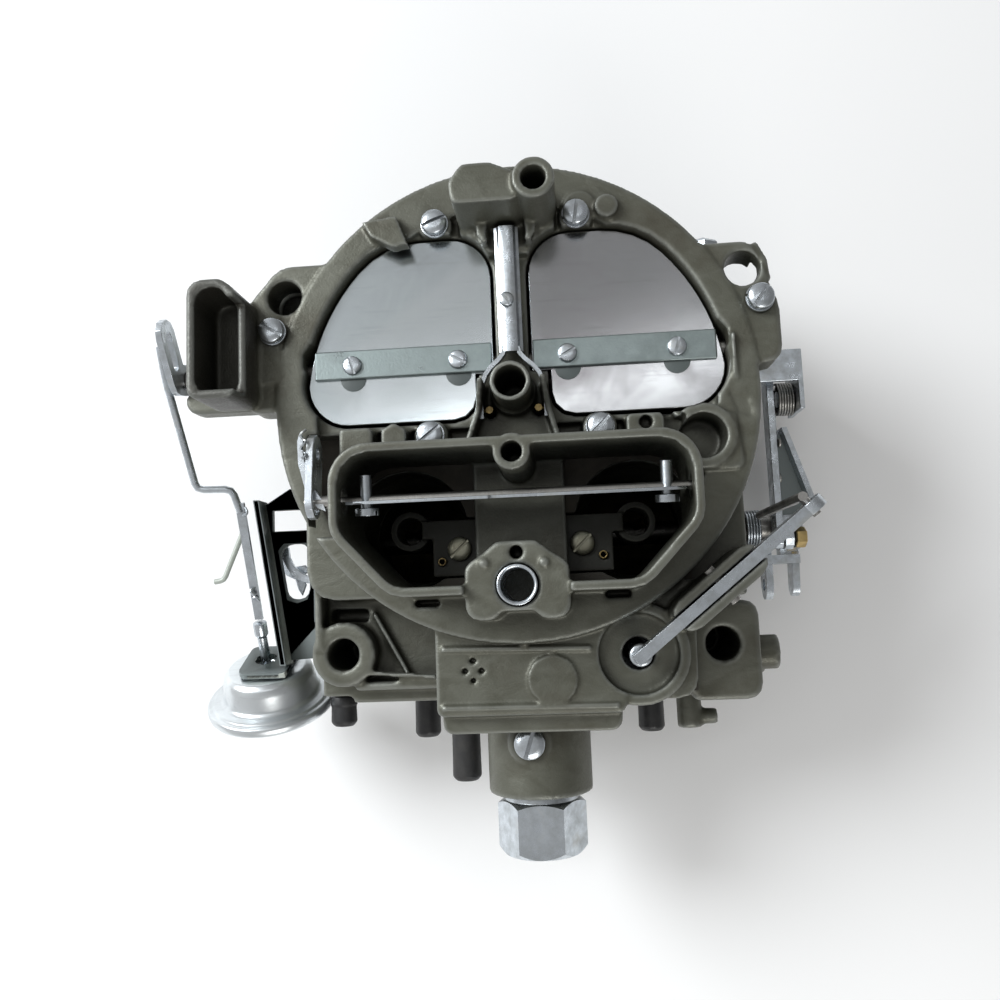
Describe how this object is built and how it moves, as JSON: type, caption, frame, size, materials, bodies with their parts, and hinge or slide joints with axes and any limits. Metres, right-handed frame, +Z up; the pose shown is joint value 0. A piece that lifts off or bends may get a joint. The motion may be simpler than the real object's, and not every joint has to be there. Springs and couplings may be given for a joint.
{
  "type": "carburetor",
  "caption": "Downdraft spread-bore carburetor: die-cast throttle body, bowl and air horn with choke, air valves, throttle shafts, levers, accelerator pump and vacuum break.",
  "frame": {"origin": "centre line of the carburetor on the underside of the throttle body, where it bolts to the intake manifold", "axes": "+Z up through the bores, -Y towards the fuel inlet at the front, +X to the throttle lever side"},
  "size_m": [0.1929, 0.1911, 0.1046],
  "materials": {
    "casting": "die-cast, dull grey-green conversion coat",
    "zinc": "bright zinc plate",
    "steel": "plain turned steel",
    "brass": "satin",
    "rubber": "matt moulded rubber",
    "phosphate": "black phosphate",
    "gasket": "compressed fibre",
    "plastic": "matt moulded"
  },
  "bodies": {
    "chassis": {"throttle_body": "casting", "throttle_body_gasket": "gasket", "float_bowl": "casting", "air_horn_gasket": "gasket", "air_horn": "casting", "air_horn_screw_1": "zinc", "air_horn_screw_2": "zinc", "air_horn_screw_3": "zinc", "air_horn_screw_4": "zinc", "air_horn_screw_5": "zinc", "air_horn_screw_6": "zinc", "booster_left": "casting", "booster_right": "casting", "front_tube": "zinc", "fuel_inlet_nut": "zinc", "fuel_filter": "brass", "inlet_boss_screw": "zinc", "needle_seat": "brass", "port_cap": "rubber", "corner_cap": "rubber", "pump_lever_pin": "steel", "rear_hex_plug": "zinc", "vacuum_can": "zinc", "vacuum_break_bracket": "phosphate", "spring_bracket": "zinc", "throttle_return_spring": "steel"},
    "primary_throttle": {"primary_shaft": "steel", "primary_plate_left": "brass", "primary_plate_right": "brass", "throttle_lever": "zinc"},
    "secondary_throttle": {"secondary_shaft": "steel", "secondary_plate_left": "brass", "secondary_plate_right": "brass", "secondary_lever": "zinc"},
    "throttle_link": {"throttle_link": "zinc"},
    "choke": {"choke_shaft": "steel", "choke_plate": "zinc", "choke_screw_left": "zinc", "choke_screw_right": "zinc", "choke_lever": "zinc"},
    "fast_idle_cam": {"fast_idle_cam": "zinc"},
    "air_valves": {"air_valve_shaft": "steel", "air_valve_left": "zinc", "air_valve_right": "zinc", "air_valve_lever": "zinc"},
    "rod_hanger": {"metering_rod_hanger": "zinc"},
    "secondary_rod_left": {"secondary_rod_left": "brass"},
    "secondary_rod_right": {"secondary_rod_right": "brass"},
    "pump_lever": {"pump_lever": "zinc"},
    "pump_rod": {"pump_rod": "steel"},
    "pump_plunger": {"pump_plunger": "zinc"},
    "float": {"float": "plastic"},
    "needle_valve": {"needle_valve": "steel"},
    "power_piston": {"power_piston": "brass"},
    "vacuum_link": {"vacuum_link": "zinc"},
    "idle_mixture_left": {"idle_mixture_screw_left": "steel", "mixture_cap_left": "plastic"},
    "idle_mixture_right": {"idle_mixture_screw_right": "steel", "mixture_cap_right": "plastic"},
    "idle_speed_screw": {"idle_speed_screw": "zinc"}
  },
  "joints": [
    {"name": "primary_throttle_turn", "type": "hinge", "parent": "chassis", "child": "primary_throttle", "pos_m": [0, -0.0175, 0.018], "axis": [-1, 0, 0], "range_deg": [0, 80], "stiffness_Nm_per_rad": 0.05},
    {"name": "secondary_throttle_turn", "type": "hinge", "parent": "chassis", "child": "secondary_throttle", "pos_m": [0, 0.0355, 0.018], "axis": [-1, 0, 0], "range_deg": [0, 80]},
    {"name": "throttle_link_turn", "type": "hinge", "parent": "primary_throttle", "child": "throttle_link", "pos_m": [0.0792, -0.0215, 0.027], "axis": [-1, 0, 0], "range_deg": [-80, 0]},
    {"name": "choke_turn", "type": "hinge", "parent": "chassis", "child": "choke", "pos_m": [0, -0.011, 0.0945], "axis": [-1, 0, 0], "range_deg": [0, 84.6]},
    {"name": "fast_idle_cam_turn", "type": "hinge", "parent": "chassis", "child": "fast_idle_cam", "pos_m": [-0.0645, -0.014, 0.038], "axis": [1, 0, 0], "range_deg": [0, 36]},
    {"name": "air_valve_turn", "type": "hinge", "parent": "chassis", "child": "air_valves", "pos_m": [0, 0.028, 0.076], "axis": [-1, 0, 0], "range_deg": [0, 72], "stiffness_Nm_per_rad": 0.03},
    {"name": "rod_hanger_turn", "type": "hinge", "parent": "chassis", "child": "rod_hanger", "pos_m": [0, 0.06, 0.087], "axis": [-1, 0, 0], "range_deg": [0, 12.2]},
    {"name": "secondary_rod_left_lift", "type": "slide", "parent": "chassis", "child": "secondary_rod_left", "axis": [0, 0, 1], "range_m": [0, 0.01]},
    {"name": "secondary_rod_right_lift", "type": "slide", "parent": "chassis", "child": "secondary_rod_right", "axis": [0, 0, 1], "range_m": [0, 0.01]},
    {"name": "pump_lever_turn", "type": "hinge", "parent": "chassis", "child": "pump_lever", "pos_m": [0.051, -0.036, 0.0875], "axis": [0.6252, -0.7804, 0], "range_deg": [0, 20.2]},
    {"name": "pump_rod_turn", "type": "hinge", "parent": "pump_lever", "child": "pump_rod", "pos_m": [0.07441, -0.01724, 0.0875], "axis": [0.6252, -0.7804, 0], "range_deg": [-20.2, 0]},
    {"name": "pump_plunger_stroke", "type": "slide", "parent": "chassis", "child": "pump_plunger", "axis": [0, 0, -1], "range_m": [0, 0.0102]},
    {"name": "float_drop", "type": "hinge", "parent": "chassis", "child": "float", "pos_m": [0, -0.044, 0.064], "axis": [-1, 0, 0], "range_deg": [0, 10]},
    {"name": "needle_valve_lift", "type": "slide", "parent": "chassis", "child": "needle_valve", "axis": [0, 0, 1], "range_m": [0, 0.00142]},
    {"name": "power_piston_lift", "type": "slide", "parent": "chassis", "child": "power_piston", "axis": [0, 0, 1], "range_m": [0, 0.004]},
    {"name": "vacuum_link_pull", "type": "slide", "parent": "chassis", "child": "vacuum_link", "axis": [0, -0.8988, -0.4384], "range_m": [0, 0.005]},
    {"name": "idle_mixture_left_turn", "type": "hinge", "parent": "chassis", "child": "idle_mixture_left", "pos_m": [-0.037, -0.06, 0.015], "axis": [0, 1, 0], "continuous": true},
    {"name": "idle_mixture_right_turn", "type": "hinge", "parent": "chassis", "child": "idle_mixture_right", "pos_m": [0.037, -0.06, 0.015], "axis": [0, 1, 0], "continuous": true},
    {"name": "idle_speed_screw_turn", "type": "hinge", "parent": "chassis", "child": "idle_speed_screw", "pos_m": [0.066, -0.045, 0.009], "axis": [0, 1, 0], "continuous": true}
  ],
  "couplings": [
    {"joint": "secondary_throttle_turn", "follows": "primary_throttle_turn", "ratio": 1},
    {"joint": "throttle_link_turn", "follows": "primary_throttle_turn", "ratio": -1},
    {"joint": "pump_lever_turn", "follows": "primary_throttle_turn", "ratio": 0.25},
    {"joint": "pump_rod_turn", "follows": "primary_throttle_turn", "ratio": -0.25},
    {"joint": "pump_plunger_stroke", "follows": "primary_throttle_turn", "m_per_rad": 0.00716},
    {"joint": "fast_idle_cam_turn", "follows": "choke_turn", "ratio": 0.415},
    {"joint": "rod_hanger_turn", "follows": "air_valve_turn", "ratio": 0.16667},
    {"joint": "secondary_rod_left_lift", "follows": "air_valve_turn", "m_per_rad": 0.00782},
    {"joint": "secondary_rod_right_lift", "follows": "air_valve_turn", "m_per_rad": 0.00782},
    {"joint": "needle_valve_lift", "follows": "float_drop", "m_per_rad": 0.008}
  ]
}
